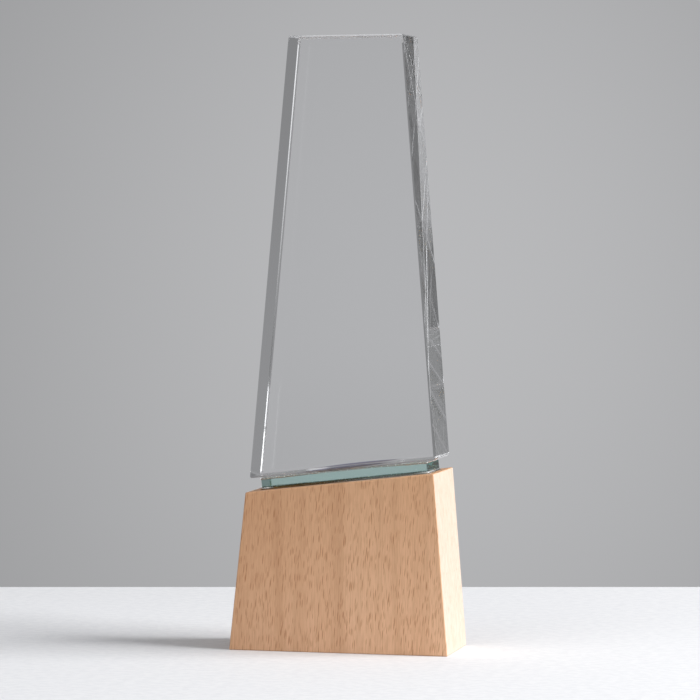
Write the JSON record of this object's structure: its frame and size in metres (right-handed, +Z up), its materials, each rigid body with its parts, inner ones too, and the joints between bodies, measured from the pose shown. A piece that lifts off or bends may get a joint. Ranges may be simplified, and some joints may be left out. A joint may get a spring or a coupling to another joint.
{
  "type": "crystal award",
  "caption": "Free-standing award: a tall clear crystal prism with tapering sides, bonded through a tinted glass spacer to a solid beech block with a sloping top.",
  "frame": {"origin": "centre of the block's underside", "axes": "+X towards the block's high side, +Y to the back, +Z up"},
  "size_m": [0.0849, 0.04, 0.235],
  "materials": {
    "beech": "fine-sanded steamed beech, clear matt finish, vertical grain",
    "adhesive": "clear cured adhesive",
    "tinted_glass": "polished green-tinted float glass",
    "crystal": "polished optical crystal, colourless"
  },
  "bodies": {
    "root": {"wood_block": "beech", "lower_bond": "adhesive", "spacer_plate": "tinted_glass", "upper_bond": "adhesive", "crystal_tower": "crystal"}
  },
  "joints": []
}
